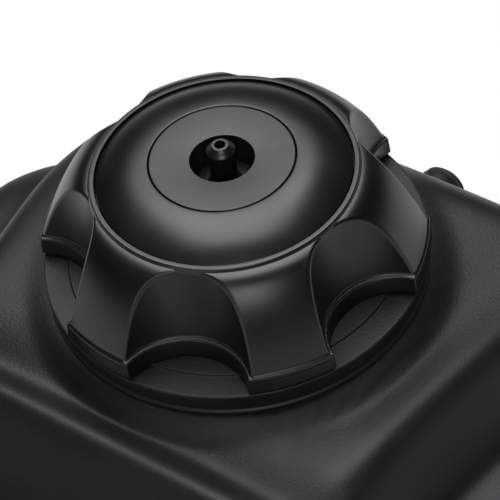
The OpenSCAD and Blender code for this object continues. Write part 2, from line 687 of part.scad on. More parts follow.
module tap_standpipe() {
    color(brass) union() {
        along_x(tap_body_x + 12, tap_y, tap_z) ring(pipe_r, pipe_bore_r, pipe_end_x - tap_body_x - 12);
        translate([pipe_end_x, tap_y, tap_z + bend_r]) rotate([90, 0, 0]) rotate([0, 0, -90])
            rotate_extrude(angle = 90) translate([bend_r, 0]) difference() {
                circle(pipe_r);
                circle(pipe_bore_r);
            }
        translate([pipe_end_x + bend_r, tap_y, tap_z + bend_r])
            ring(pipe_r, pipe_bore_r, standpipe_rise - bend_r);
    }
}

// Ribbed strainer basket pushed over the end of the hub
module tap_strainer() {
    r_out = tap_hub_r + 1.4;
    slots = 8;
    color(black_nylon) difference() {
        along_x(tap_hub_end - 6, tap_y, tap_z) cylinder(r = r_out, h = strainer_len + 6);
        along_x(tap_hub_end - 7, tap_y, tap_z) cylinder(r = tap_hub_r + fit, h = 7);
        along_x(tap_hub_end - 0.5, tap_y, tap_z) cylinder(r = tap_hub_r - 0.4, h = strainer_len - 1);
        along_x(tap_hub_end, tap_y, tap_z) cylinder(r = pipe_r + fit, h = strainer_len + 10);
        along_x(tap_hub_end + 3, tap_y, tap_z) for (i = [0:slots - 1]) rotate(i * 360 / slots)
            translate([0, -1.2, 0]) cube([r_out + 2, 2.4, strainer_len - 7]);
    }
}

module tap_valve_packing() {
    color(black_rubber) along_y(tap_body_x, valve_y, tap_z) difference() {
        cylinder(r = valve_r - fit, h = packing_t);
        for (a = [0:90:270]) rotate(a) translate([valve_r / 2, 0, -1]) cylinder(r = 1.8, h = packing_t + 2);
    }
}

module tap_wave_washer() {
    color(steel) along_y(tap_body_x, plate_y - wave_t, tap_z) ring(valve_r - 1, stem_r + 1, wave_t);
}

// Lever: a valve disc behind the plate, a stem through it and a handle that clears the plate's screws
module tap_lever() {
    disc_y = valve_y + packing_t;
    hub_y = plate_y + plate_t + air;
    handle_y = hub_y + plate_head_h;
    root = lever_hub_r - 1.5;
    tip_x = lever_tip_r - lever_len;
    color(alloy) union() {
        along_y(tap_body_x, disc_y, tap_z) cylinder(r = valve_r - air, h = lever_disc_t - wave_t);
        along_y(tap_body_x, disc_y, tap_z) cylinder(r = stem_r - air, h = handle_y - disc_y + 2);
        along_y(tap_body_x, hub_y, tap_z) cylinder(r = lever_hub_r, h = plate_head_h + lever_t);
        along_y(tap_body_x, handle_y, tap_z) linear_extrude(lever_t) union() {
            polygon([[0, -root], [tip_x, -lever_tip_r], [tip_x, lever_tip_r], [0, root]]);
            translate([tip_x, 0]) circle(lever_tip_r);
        }
    }
}

module tap_lever_plate() {
    color(steel) along_y(tap_body_x, plate_y, tap_z) linear_extrude(plate_t) difference() {
        union() {
            circle(tap_body_r);
            for (s = [-1, 1]) translate([0, s * plate_screw_r]) circle(plate_ear_r);
        }
        circle(stem_r);
        for (s = [-1, 1]) translate([0, s * plate_screw_r]) circle(plate_thread_r + fit);
    }
}

module tap_plate_screws() {
    color(steel) for (s = [-1, 1]) along_y(tap_body_x, plate_y + plate_t, tap_z + s * plate_screw_r) union() {
        cylinder(r = plate_head_r, h = plate_head_h);
        translate([0, 0, 1 - tap_body_half]) cylinder(r = plate_thread_r - fit, h = tap_body_half);
    }
}

module shroud_threaded_inserts() {
    color(brass) at_shroud_bosses() ring(tap_insert_r - fit / 2, shroud_thread_r, shroud_insert_len);
}

// Bush of rubber with a lip on each side of the lug
module grommet(bolt) {
    half = lug_t / 2;
    r_in = sleeve_r(bolt) + fit;
    waist = groove_r(bolt) - fit;
    r_lip = groove_r(bolt) + lip;
    rotate_extrude() polygon([[r_in, -half - lip_t], [r_lip, -half - lip_t], [r_lip, -half], [waist, -half],
        [waist, half], [r_lip, half], [r_lip, half + lip_t], [r_in, half + lip_t]]);
}

// Steel sleeve with a flange that lies on the grommet
module sleeve(bolt) {
    half = lug_t / 2 + lip_t;
    r_out = sleeve_r(bolt);
    r_flange = groove_r(bolt);
    rotate_extrude() polygon([[bolt, -half], [r_out, -half], [r_out, half], [r_flange, half],
        [r_flange, half + sleeve_flange_t], [bolt, half + sleeve_flange_t]]);
}

module rear_grommet() {
    color(black_rubber) translate([rear_bolt_x, 0, rear_lug_z]) grommet(rear_bolt_r);
}

module rear_sleeve() {
    color(steel) translate([rear_bolt_x, 0, rear_lug_z]) sleeve(rear_bolt_r);
}

module front_grommet() {
    color(black_rubber) along_x(front_lug_x + lug_t / 2, 0, front_bolt_z) grommet(front_bolt_r);
}

module front_sleeve() {
    color(steel) along_x(front_lug_x + lug_t / 2, 0, front_bolt_z) sleeve(front_bolt_r);
}

tank_shell();
rear_tongue();
front_ear();
shroud_bosses();
filler_neck();
cap_grip();
cap_cover();
cap_centre_disc();
vent_nipple();
cap_insert();
cap_gasket();
tap_body();
tap_flange_gasket();
tap_screws();
tap_washers();
tap_threaded_inserts();
tap_standpipe();
tap_strainer();
tap_valve_packing();
tap_wave_washer();
tap_lever();
tap_lever_plate();
tap_plate_screws();
shroud_threaded_inserts();
rear_grommet();
rear_sleeve();
front_grommet();
front_sleeve();
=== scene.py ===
# Fuel tank of a small off-road motorcycle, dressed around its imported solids.
# Sizes are written in millimetres in the tank's own frame and turned to metres when a mesh is made.
import math

import bmesh
import bpy
import numpy as np
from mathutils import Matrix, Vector


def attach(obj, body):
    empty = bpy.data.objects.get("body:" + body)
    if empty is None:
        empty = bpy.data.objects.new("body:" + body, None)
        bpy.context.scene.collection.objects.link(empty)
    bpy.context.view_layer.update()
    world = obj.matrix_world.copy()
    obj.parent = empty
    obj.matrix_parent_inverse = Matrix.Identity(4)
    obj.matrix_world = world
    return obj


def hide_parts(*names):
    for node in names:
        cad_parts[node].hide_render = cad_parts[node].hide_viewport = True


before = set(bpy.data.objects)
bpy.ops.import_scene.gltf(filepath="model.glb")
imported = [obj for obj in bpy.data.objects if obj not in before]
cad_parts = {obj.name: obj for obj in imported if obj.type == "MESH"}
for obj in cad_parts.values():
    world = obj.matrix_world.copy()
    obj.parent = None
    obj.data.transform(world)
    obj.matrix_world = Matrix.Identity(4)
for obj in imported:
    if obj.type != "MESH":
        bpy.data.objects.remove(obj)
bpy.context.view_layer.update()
MM = 0.001

# Places that the pieces share
FILLER_X = 32.0
DECK_Z, PAD_Z, COLLAR_Z, RIM_Z = 140.6, 141.2, 147.4, 172.0
LIP_Z, LEDGE_Z, COVER_SEAT_Z = 162.2, 167.1, 170.4
CAP_TURN = math.radians(20.4)
THREAD_LEAD = 6.0
LUG_T = 6.0
REAR_LUG_R, REAR_HOLE_R, REAR_BOLT = 7.6, 5.8, (-144.4, 0.0, 71.0)
FRONT_LUG_R, FRONT_HOLE_R, FRONT_BOLT = 7.1, 5.3, (121.3, 0.0, 79.4)
BOSS_Z, BOSS_TOPS = 62.0, ((44.0, 111.5), (84.0, 110.0))


# Meshes

def mesh_piece(name, points, faces, body, slot, material, normals=None, crease_deg=38):
    """Object from points in millimetres, riding on a body, with its sharp edges marked by angle."""
    mesh = bpy.data.meshes.new(name)
    corners = [tuple(p) for p in np.asarray(points, float) * MM]
    mesh.from_pydata(corners, [], [tuple(map(int, f)) for f in faces])
    mesh.update()
    mesh.polygons.foreach_set("use_smooth", [True] * len(mesh.polygons))
    if normals is not None:
        mesh.normals_split_custom_set_from_vertices([tuple(n) for n in normals])
    else:
        mesh.set_sharp_from_angle(angle=math.radians(crease_deg))
    piece = bpy.data.objects.new(name, mesh)
    bpy.context.scene.collection.objects.link(piece)
    mesh.materials.append(material)
    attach(piece, body)
    return piece


def rounded(corners, steps=6):
    """Profile through corners (r, z, radius), each corner turned into an arc of that radius."""
    out = []
    for i, (r, z, radius) in enumerate(corners):
        here = np.array([r, z])
        if radius == 0 or i in (0, len(corners) - 1):
            out.append(here)
            continue
        a = np.array(corners[i - 1][:2]) - here
        b = np.array(corners[i + 1][:2]) - here
        la, lb = np.linalg.norm(a), np.linalg.norm(b)
        a, b = a / la, b / lb
        half = math.acos(max(-1.0, min(1.0, float(a @ b)))) / 2
        reach = min(radius / math.tan(half), 0.49 * la, 0.49 * lb)
        start, end = here + a * reach, here + b * reach
        for k in range(steps + 1):
            t = k / steps
            out.append((1 - t) ** 2 * start + 2 * t * (1 - t) * here + t * t * end)
    return out


def dense(profile, step):
    """Profile with points added so that none lie further apart than step."""
    out = [np.asarray(profile[0], float)]
    for p, q in zip(profile[:-1], profile[1:]):
        n = max(1, math.ceil(np.linalg.norm(np.subtract(q, p)) / step))
        out += [np.asarray(p) + (np.asarray(q) - p) * k / n for k in range(1, n + 1)]
    return out


def lathe(profile, centre, segments=160, warp=None):
    """Points and faces of a closed profile turned about an upright axis; warp may move the radius."""
    ring = np.arange(segments) * 2 * math.pi / segments
    rz = np.array(profile)
    r, a = np.meshgrid(rz[:, 0], ring, indexing="ij")
    z = np.repeat(rz[:, 1][:, None], segments, axis=1)
    if warp:
        r = warp(r, z, a)
    points = np.stack([centre[0] + r * np.cos(a), centre[1] + r * np.sin(a), centre[2] + z], -1)
    points = points.reshape(-1, 3)
    n = len(rz)
    faces = [(i * segments + j, i * segments + (j + 1) % segments,
              (i + 1) % n * segments + (j + 1) % segments, (i + 1) % n * segments + j)
             for i in range(n) for j in range(segments)]
    return points, faces


def lists_of(bm):
    """Points and faces of a finished mesh, which is then let go."""
    bm.verts.index_update()
    points = np.array([v.co[:] for v in bm.verts])
    faces = [[v.index for v in f.verts] for f in bm.faces]
    bm.free()
    return points, faces


def raised(bm, lid, depth):
    """Mesh drawn up from its flat lid to a depth."""
    top = bmesh.ops.extrude_face_region(bm, geom=lid)["geom"]
    bmesh.ops.translate(bm, vec=(0, 0, depth), verts=[v for v in top if isinstance(v, bmesh.types.BMVert)])
    bmesh.ops.recalc_face_normals(bm, faces=bm.faces)


def level(edge):
    return abs(edge.verts[0].co.z - edge.verts[1].co.z) < 1e-6


def slab(outline, depth, round_r):
    """Points and faces of an upright slab over an outline in the plane, its edges rounded."""
    bm = bmesh.new()
    foot = [bm.verts.new((x, y, 0)) for x, y in outline]
    raised(bm, [bm.faces.new(foot)], depth)
    rims = [e for e in bm.edges if level(e)]
    bmesh.ops.bevel(bm, geom=rims, offset=round_r, segments=4, profile=0.5, affect="EDGES")
    return lists_of(bm)


def holed_slab(outline, hole, depth, round_r):
    """Points and faces of a slab with a hole through it, the outer edges rounded."""
    bm = bmesh.new()
    loops = [[bm.verts.new((x, y, 0)) for x, y in path] for path in (outline, hole)]
    edges = [bm.edges.new((loop[i - 1], loop[i])) for loop in loops for i in range(len(loop))]
    flat = bmesh.ops.triangle_fill(bm, edges=edges, use_beauty=True)["geom"]
    raised(bm, [g for g in flat if isinstance(g, bmesh.types.BMFace)], depth)
    rims = [e for e in bm.edges if len(e.link_faces) == 2 and e.calc_face_angle() > 1.2 and level(e)]
    bmesh.ops.bevel(bm, geom=rims, offset=round_r, segments=4, profile=0.5, affect="EDGES")
    return lists_of(bm)


def turned(points, columns, place):
    """Points carried from local axes, given as columns, to a place in the tank's frame."""
    return np.asarray(points) @ np.array(columns, float) + np.asarray(place, float)


def arc(centre, r, start_deg, end_deg, steps=24):
    return [(centre[0] + r * math.cos(math.radians(a)), centre[1] + r * math.sin(math.radians(a)))
            for a in np.linspace(start_deg, end_deg, steps)]


# Materials

def linear(code):
    """Linear colour of an sRGB hex value."""
    parts = [int(code[i:i + 2], 16) / 255 for i in (1, 3, 5)]
    return tuple(c / 12.92 if c <= 0.04045 else ((c + 0.055) / 1.055) ** 2.4 for c in parts) + (1.0,)


def add(tree, kind, links=None, **settings):
    """Node of a kind with its settings, by attribute or by socket, and its links."""
    made = tree.nodes.new(kind)
    for key, value in settings.items():
        if hasattr(made, key):
            setattr(made, key, value)
        else:
            made.inputs[key.replace("_", " ")].default_value = value
    for key, source in (links or {}).items():
        tree.links.new(source, made.inputs[key])
    return made


def grained(name, colour, highlight_and_mottle_colour, roughness, grain_mm, grain_depth_mm, mottle_mm,
            spread=0.06, metallic=0.0, ior=1.5):
    """Material with a fine moulded or cast grain, a broad change of sheen, a random mottle of tone and paler
    edges painted on as a highlight.
    """
    material = bpy.data.materials.new(name)
    material.use_nodes = True
    tree = material.node_tree
    shader = tree.nodes["Principled BSDF"]
    shader.inputs["Metallic"].default_value = metallic
    shader.inputs["IOR"].default_value = ior
    place = add(tree, "ShaderNodeTexCoord").outputs["Object"]
    grain = add(tree, "ShaderNodeTexNoise", {"Vector": place}, Scale=1 / (grain_mm * MM), Detail=3.0,
                Roughness=0.6)
    mottle = add(tree, "ShaderNodeTexNoise", {"Vector": place}, Scale=1 / (mottle_mm * MM), Detail=4.0)
    sheen = add(tree, "ShaderNodeMapRange", {"Value": mottle.outputs["Fac"]}, From_Min=0.3, From_Max=0.7,
                To_Min=roughness - spread, To_Max=roughness + spread)
    # Sharp edges, found by pointiness, are painted paler as an edge highlight; the mottle adds a random paler
    # tone of the material
    edge = add(tree, "ShaderNodeNewGeometry").outputs["Pointiness"]
    painted_edge_highlight = add(tree, "ShaderNodeMapRange", {"Value": edge}, From_Min=0.52, From_Max=0.62)
    tint = add(tree, "ShaderNodeMapRange", {"Value": mottle.outputs["Fac"]}, From_Min=0.2, From_Max=0.8,
               To_Max=0.25)
    highlight_and_mottle_mix = add(tree, "ShaderNodeMath", {0: painted_edge_highlight.outputs["Result"], 1: tint.outputs["Result"]},
               operation="MAXIMUM")
    body = add(tree, "ShaderNodeMix", {"Factor": highlight_and_mottle_mix.outputs["Value"]}, data_type="RGBA")
    body.inputs[6].default_value = linear(colour)
    body.inputs[7].default_value = linear(highlight_and_mottle_colour)
    bump = add(tree, "ShaderNodeBump", {"Height": grain.outputs["Fac"]}, Strength=1.0,
               Distance=grain_depth_mm * MM)
    tree.links.new(body.outputs[2], shader.inputs["Base Color"])
    tree.links.new(sheen.outputs["Result"], shader.inputs["Roughness"])
    tree.links.new(bump.outputs["Normal"], shader.inputs["Normal"])
    return material


# Blow-moulded black polyethylene: a waxy satin with a fine leathery grain from the sand-blasted mould
TANK_HDPE = grained("blow_moulded_polyethylene", "#111111", "#1f1f1f", 0.48, 0.6, 0.07, 22.0, ior=1.36)
# Injection-moulded black nylon: a smoother satin that takes a clear soft highlight
CAP_NYLON = grained("moulded_black_nylon", "#0b0b0b", "#1a1a1a", 0.34, 0.5, 0.008, 16.0,
                    spread=0.04, ior=1.44)
# Nitrile rubber: dead black and dull, with a faint bloom
RUBBER = grained("nitrile_rubber", "#121212", "#202020", 0.72, 0.4, 0.01, 6.0)
# Die-cast aluminium, tumbled: a grey skin with a soft broken sheen
TAP_ALLOY = grained("tumbled_die_cast_aluminium", "#9b9da0", "#c2c4c6", 0.42, 0.5, 0.012, 5.0, metallic=1.0)
# Zinc-plated steel: bright and slightly blue
ZINC_STEEL = grained("zinc_plated_steel", "#b4b8bc", "#d4d7da", 0.28, 0.6, 0.004, 4.0, metallic=1.0)
# Black-oxide steel: near black with a dull oily sheen
BLACK_STEEL = grained("black_oxide_steel", "#2a2b2d", "#4a4b4d", 0.4, 0.5, 0.004, 4.0, metallic=1.0)
# Turned brass: warm yellow, with paler edges that are a painted highlight
BRASS = grained("turned_brass", "#a8873f", "#c9aa62", 0.3, 0.5, 0.004, 5.0, metallic=1.0)
# Natural nylon: cream and cloudy
STRAINER_NYLON = grained("natural_nylon", "#b9b39c", "#cfcab6", 0.5, 0.6, 0.006, 6.0)


# Tank shell: the solid's kind of cubic surface, drawn finer. Its deck stands a few millimetres higher and
# wider than the solid's, with a dip inside the right ridge, and swells up to the collar.

SHELL_FRONT, SHELL_REAR = 120.0, 160.0
DECK_REAR, DECK_FRONT, DECK_HALF, DECK_FLARE, DECK_CROWN = 58.0, 48.0, 62.8, 7.0, 3.0
GROOVE_DROP, GROOVE_RUN, SHELF_RUN = 19.0, 8.5, 21.0
# The left ridge stands a little higher, then narrows and falls towards the front
DECK_LEFT, LEFT_RISE, LEFT_FALL, FALL_START, FALL_RUN = 63.5, 1.5, 5.0, 22.0, 18.0
DECK_DIP, DIP_ENDS = 4.6, (-44, -26, 30, 46)
SWELL_R, SWELL_RUN, SWELL_MOST = 51.0, 5.4, 12.0
BELLY_HALF, TAIL_HALF, FOOT_HALF = 108.0, 58.0, 76.0
TAIL_Z, SEAT_Z, NOSE_Z, TAIL_KEEL = 82.0, 104.0, 69.0, 52.0
TUNNEL_HALF, TUNNEL_ROOF, HEAD_RECESS, HEAD_RECESS_HALF = 33.0, 76.0, 22.0, 30.0
RECESS_START, TAIL_RUN, TAIL_BOW = 60.0, 50.0, 10.0
END_INSETS = (0.44, 0.34, 0.18, 0.05)

CURVES = {
    "crown": [(-SHELL_REAR, TAIL_Z), (-DECK_REAR - 34, SEAT_Z), (-DECK_REAR - 12, DECK_Z - 17.5),
              (-DECK_REAR + 1, DECK_Z), (-DECK_REAR + 8, DECK_Z - 6.6), (-DECK_REAR + 16, DECK_Z - 1.0),
              (-16, DECK_Z), (16, DECK_Z),
              (DECK_FRONT - 12, DECK_Z), (DECK_FRONT, DECK_Z - 1), (DECK_FRONT + 8, DECK_Z - 10),
              (DECK_FRONT + 36, NOSE_Z + 5), (SHELL_FRONT, NOSE_Z)],
    "deck": [(-SHELL_REAR, TAIL_HALF - 22), (-DECK_REAR - 12, DECK_HALF - 13), (-DECK_REAR, DECK_HALF - 8.5),
             (-22, DECK_HALF - 5), (0, DECK_HALF), (18, DECK_HALF + DECK_FLARE * 0.55),
             (DECK_FRONT - 8, DECK_HALF + DECK_FLARE), (DECK_FRONT, DECK_HALF + DECK_FLARE),
             (SHELL_FRONT, DECK_HALF - 3)],
    "ridge": [(-SHELL_REAR, 5), (-DECK_REAR - 12, 5), (-DECK_REAR + 12, DECK_CROWN - 1.0), (0, DECK_CROWN),
              (DECK_FRONT, DECK_CROWN + 6.4), (SHELL_FRONT, 6)],
    "groove": [(-SHELL_REAR, 3), (-DECK_REAR - 58, 8), (-DECK_REAR - 12, GROOVE_DROP - 1),
               (-22, GROOVE_DROP + 2), (0, GROOVE_DROP), (16, GROOVE_DROP + 1),
               (DECK_FRONT - 8, GROOVE_DROP + 8), (DECK_FRONT + 12, GROOVE_DROP + 10), (SHELL_FRONT, 8)],
    "shelf": [(-SHELL_REAR, 8), (-DECK_REAR - 58, 10), (-DECK_REAR - 12, SHELF_RUN - 7), (-22, SHELF_RUN - 3),
              (0, SHELF_RUN), (DECK_FRONT - 8, SHELF_RUN - 6), (DECK_FRONT + 12, SHELF_RUN - 8),
              (SHELL_FRONT, 12)],
    "belly": [(-SHELL_REAR, TAIL_HALF), (-SHELL_REAR + 20, TAIL_HALF + 6), (-110, BELLY_HALF - 34),
              (-80, BELLY_HALF - 18), (-50, BELLY_HALF - 6), (0, BELLY_HALF), (40, BELLY_HALF - 1),
              (80, BELLY_HALF - 8), (SHELL_FRONT - 10, BELLY_HALF - 22), (SHELL_FRONT, BELLY_HALF - 26)],
    "keel": [(-SHELL_REAR, TAIL_KEEL), (-110, TAIL_KEEL - 6), (-84, TAIL_KEEL - 12), (-74, TAIL_KEEL - 22),
             (-66, 10), (-58, 0), (60, 0), (80, 6), (96, 22), (SHELL_FRONT, 38)],
    "foot": [(-SHELL_REAR, TAIL_HALF - 16), (-110, FOOT_HALF - 22), (-70, FOOT_HALF - 8), (-40, FOOT_HALF),
             (60, FOOT_HALF), (96, FOOT_HALF - 8), (SHELL_FRONT, FOOT_HALF - 14)],
    "roof": [(-SHELL_REAR, TAIL_KEEL + 1), (-110, TAIL_KEEL + 6), (0, TUNNEL_ROOF), (60, TUNNEL_ROOF - 6),
             (SHELL_FRONT, NOSE_Z - 20)],
    "tunnel": [(-SHELL_REAR, TUNNEL_HALF - 11), (-60, TUNNEL_HALF - 2), (60, TUNNEL_HALF),
               (SHELL_FRONT, TUNNEL_HALF)],
}
STATIONS = (-SHELL_REAR + 12, -138, -114, -DECK_REAR - 40, -DECK_REAR - 26, -DECK_REAR - 14,
            -DECK_REAR - 5.5, -DECK_REAR + 1, -DECK_REAR + 8, -DECK_REAR + 16, -16, 6,
            DECK_FRONT - 22, DECK_FRONT - 10, DECK_FRONT - 1, DECK_FRONT + 6, DECK_FRONT + 16,
            DECK_FRONT + 30, DECK_FRONT + 46, SHELL_FRONT - 10)


def curve_at(name, u):
    places, values = zip(*CURVES[name])
    return float(np.interp(u, places, values))


def half_section(u, inset, left):
    """Control points of half the shell at u, outside then inside, drawn in at the ends by a share."""
    c, d, drop, k = (curve_at(n, u) for n in ("crown", "deck", "ridge", "keel"))
    dip = np.interp(u, DIP_ENDS, (0, DECK_DIP, DECK_DIP, 0))
    if left:
        fall = LEFT_FALL * min(1, max(0, (u - FALL_START) / FALL_RUN))
        d, drop, dip = min(d, DECK_LEFT), drop - LEFT_RISE + fall, 0
    e = c - drop
    g = e - curve_at("groove", u)
    yg = d + GROOVE_RUN
    ys = yg + curve_at("shelf", u)
    b = max(curve_at("belly", u), ys + 3)
    f, t, r = (curve_at(n, u) for n in ("foot", "tunnel", "roof"))
    deck = [(0, c), (0.45 * d, c - 0.06 * drop), (0.8 * d, c - 0.2 * drop - dip)]
    ridge = [(d - 2, e + 1.2 + dip / 3), (d + 3, e - 4)]
    groove = [(yg, g + 2.5), (yg + 4, g), (ys - 6, g + 1), (ys + 2, g - 4)]
    flank = [(b, k + 0.55 * (g - k) + 8), (b - 3, k + 0.25 * (g - k)), (f, k)]
    outside = np.array(deck + ridge + groove + flank)
    square = 1 - 0.5 * min(1, (r - k) / 40)
    quarter = [math.radians(90 * i / 8) for i in range(8)]
    inside = np.array([(f + (t - f) * q, k) for q in (0.25, 0.5, 0.8)]
                      + [(t * math.cos(a) ** square, k + (r - k) * math.sin(a) ** 0.8) for a in quarter]
                      + [(0, r)])
    return np.concatenate([outside + (inside[::-1] - outside) * inset / 2,
                           inside + (outside[::-1] - inside) * inset / 2])


def section(u, inset):
    """Closed ring of control points across the shell at u, bowed at its two ends."""
    left, right = half_section(u, inset, True), half_section(u, inset, False)
    ring = np.concatenate([left, right[-2:0:-1] * (-1, 1)])
    s = min(1, max(0, (u - RECESS_START) / (SHELL_FRONT - RECESS_START)))
    s = s * s * (3 - 2 * s)
    tail = max(0, min(1, (-u - SHELL_REAR + TAIL_RUN) / TAIL_RUN))
    y = ring[:, 0]
    recess = HEAD_RECESS * s * np.exp(-(y / HEAD_RECESS_HALF) ** 2)
    x = u - recess + TAIL_BOW * tail * tail * (y / TAIL_HALF) ** 2
    return np.stack([FILLER_X + x, y, ring[:, 1]], -1)


def spline_weights(t):
    """Shares of four neighbours at t on a uniform cubic B-spline."""
    return np.array([(1 - t) ** 3, 3 * t ** 3 - 6 * t * t + 4,
                     -3 * t ** 3 + 3 * t * t + 3 * t + 1, t ** 3]) / 6


def shell_surface(rows, sides):
    """Grid of points on the cubic surface over the control sections."""
    net = ([section(-SHELL_REAR, s) for s in END_INSETS] + [section(u, 0) for u in STATIONS]
           + [section(SHELL_FRONT, s) for s in reversed(END_INSETS)])
    net = [2 * net[0] - net[1]] + net + [2 * net[-1] - net[-2]]
    lengthwise = []
    for v in np.linspace(0, len(net) - 3, rows):
        i = min(int(v), len(net) - 4)
        w = spline_weights(v - i)
        lengthwise.append(sum(w[k] * net[i + k] for k in range(4)))
    grid = np.array(lengthwise)
    n = grid.shape[1]
    out = np.empty((rows, sides, 3))
    for j in range(sides):
        v = n * j / sides
        i = int(v)
        w = spline_weights(v - i)
        out[:, j] = sum(w[k] * grid[:, (i + k - 1) % n] for k in range(4))
    return out


def tank_skin():
    """Outer skin of the shell, open where the filler pad stands."""
    rows, sides, pad_clear = 260, 320, 40.0
    points = shell_surface(rows, sides).reshape(-1, 3)
    # The deck swells up to the underside of the collar
    near = np.clip((SWELL_R - np.hypot(points[:, 0] - FILLER_X, points[:, 1])) / SWELL_RUN, 0, 1)
    lift = np.clip(PAD_Z - 0.3 - points[:, 2], 0, SWELL_MOST) * near * near * (3 - 2 * near)
    points[:, 2] += np.where(points[:, 2] > DECK_Z - 25, lift, 0)
    half, quarter = sides // 2, sides // 4
    faces = [(i * sides + j, i * sides + (j + 1) % sides,
              (i + 1) * sides + (j + 1) % sides, (i + 1) * sides + j)
             for i in range(rows - 1) for j in range(sides)]
    middle = points[np.array(faces)].mean(1)
    under_pad = (np.hypot(middle[:, 0] - FILLER_X, middle[:, 1]) < pad_clear) & (middle[:, 2] > DECK_Z - 20)
    faces = [f for f, hidden in zip(faces, under_pad) if not hidden]
    for base, flip in ((0, True), ((rows - 1) * sides, False)):
        for j in range(quarter):
            for ring in ([j, j + 1, half - j - 1, half - j],
                         [(sides - j) % sides, half + j, half + j + 1, sides - j - 1]):
                ring = [base + q for q in dict.fromkeys(ring)]
                faces.append(tuple(reversed(ring)) if flip else tuple(ring))
    skin = mesh_piece("tank_skin", points, faces, "tank", "tank_moulding", TANK_HDPE, crease_deg=60)
    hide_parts("tank_shell")


def tank_fittings():
    """Pads, bosses and lugs moulded on the shell."""
    pad = rounded([(26.3, 127, 0), (26.3, PAD_Z, 0.4), (43.0, PAD_Z, 1.2), (44.5, 127, 0)])
    mesh_piece("filler_pad", *lathe(pad, (FILLER_X, 0, 0)), "tank", "tank_moulding", TANK_HDPE)
    along_x = [(0, 0, -1), (0, 1, 0), (1, 0, 0)]
    tap_outline = (arc((0, 17), 9, 0, 180) + arc((0, -17), 9, 180, 360))
    points, faces = slab(tap_outline, 28, 0.8)
    mesh_piece("tap_pad", turned(points, along_x, (-52, 62, 24)), faces, "tank", "tank_moulding", TANK_HDPE)
    ring = rounded([(4.2, -7, 0), (4.2, 0, 0.3), (8, 0, 0.9), (8.6, -16, 0)])
    local, quads = lathe(ring, (0, 0, 0), 64)
    points, faces = [], []
    for x, y in BOSS_TOPS:
        for s in (1, -1):
            faces += [tuple(i + len(points) * len(local) for i in quad) for quad in quads]
            points.append(turned(local, [(s, 0, 0), (0, 0, 1), (0, s, 0)], (x, s * y, BOSS_Z)))
    bosses = mesh_piece("boss_mouldings", np.concatenate(points), faces, "tank", "tank_moulding", TANK_HDPE)
    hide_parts("shroud_bosses")
    outline = arc((0, 0), FRONT_LUG_R, -90, 90, 32) + [(-22, FRONT_LUG_R), (-22, -FRONT_LUG_R)]
    points, faces = holed_slab(outline, arc((0, 0), FRONT_HOLE_R, 360, 0, 48), LUG_T, 0.7)
    points = turned(points, [(0, 0, 1), (0, -1, 0), (1, 0, 0)], FRONT_BOLT)
    ear = mesh_piece("ear_moulding", points, faces, "tank", "tank_moulding", TANK_HDPE)
    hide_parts("front_ear")
    outline = arc((0, 0), REAR_LUG_R, 90, 270, 32) + [(30, -REAR_LUG_R - 4), (30, REAR_LUG_R + 4)]
    points, faces = holed_slab(outline, arc((0, 0), REAR_HOLE_R, 360, 0, 48), LUG_T, 0.7)
    points = turned(points, np.eye(3), REAR_BOLT) - (0, 0, LUG_T / 2)
    tongue = mesh_piece("tongue_moulding", points, faces, "tank", "tank_moulding", TANK_HDPE)
    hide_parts("rear_tongue")


tank_skin()
tank_fittings()


# Filler neck: collar, raised land and a neck with a real screw thread

def filler_neck():
    bore, wall, depth = 23.0, 26.2, 1.2
    corners = [(bore, PAD_Z - 9, 0), (wall, PAD_Z - 9, 0.3), (wall, PAD_Z, 0), (45.5, PAD_Z, 0.3),
               (45.5, PAD_Z + 0.8, 0.35), (45.0, PAD_Z + 1.2, 0.4), (45.6, COLLAR_Z, 0.45),
               (39.7, COLLAR_Z, 0.15), (39.5, COLLAR_Z + 0.5, 0.2), (28.2, COLLAR_Z + 0.5, 0.3),
               (wall, COLLAR_Z + 2.5, 0.4), (wall, LIP_Z, 0.7), (bore, LIP_Z, 0.7)]
    profile = dense(rounded(corners), 0.4)

    def thread(r, z, a):
        turn = ((z - COLLAR_Z) / THREAD_LEAD - a / (2 * math.pi)) % 1.0
        ridge = np.clip((0.32 - np.abs(turn - 0.5)) / 0.1, 0, 1)
        fade = np.clip((z - COLLAR_Z - 3.2) / 1.2, 0, 1) * np.clip((LIP_Z - 1.0 - z) / 1.2, 0, 1)
        on_wall = np.abs(r - wall) < 0.05
        return np.where(on_wall, r - depth * (1 - ridge) * fade, r)

    turned_neck = lathe(profile, (FILLER_X, 0, 0), 240, thread)
    neck = mesh_piece("neck_moulding", *turned_neck, "tank", "tank_moulding", TANK_HDPE)
    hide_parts("filler_neck")


filler_neck()


# Cap: the grip is a rounded solid cut by leaning scallops, meshed from its distance function

RIM_R, RIM_BORE_R, CREASE_R, BAND_R, FLARE_H, BAND_H = 30.9, 29.5, 45.0, 45.9, 19.1, 4.7
SCALLOP_R, SCALLOP_AXIS_R, SCALLOP_DRAFT = 15.84, 46.94, math.radians(7.2)
GRIP_WALL, FLARE_POWER, BAND_LEAN, SCALLOP_LAND, CREASE_BLEND, NET_STEP = 2.2, 1.9, 0.4, 0.9, 0.6, 0.33


def round_max(a, b, radius):
    """Intersection of two solids with its edge rounded."""
    corner = np.hypot(np.maximum(a + radius, 0), np.maximum(b + radius, 0))
    return np.minimum(np.maximum(a, b), -radius) + corner


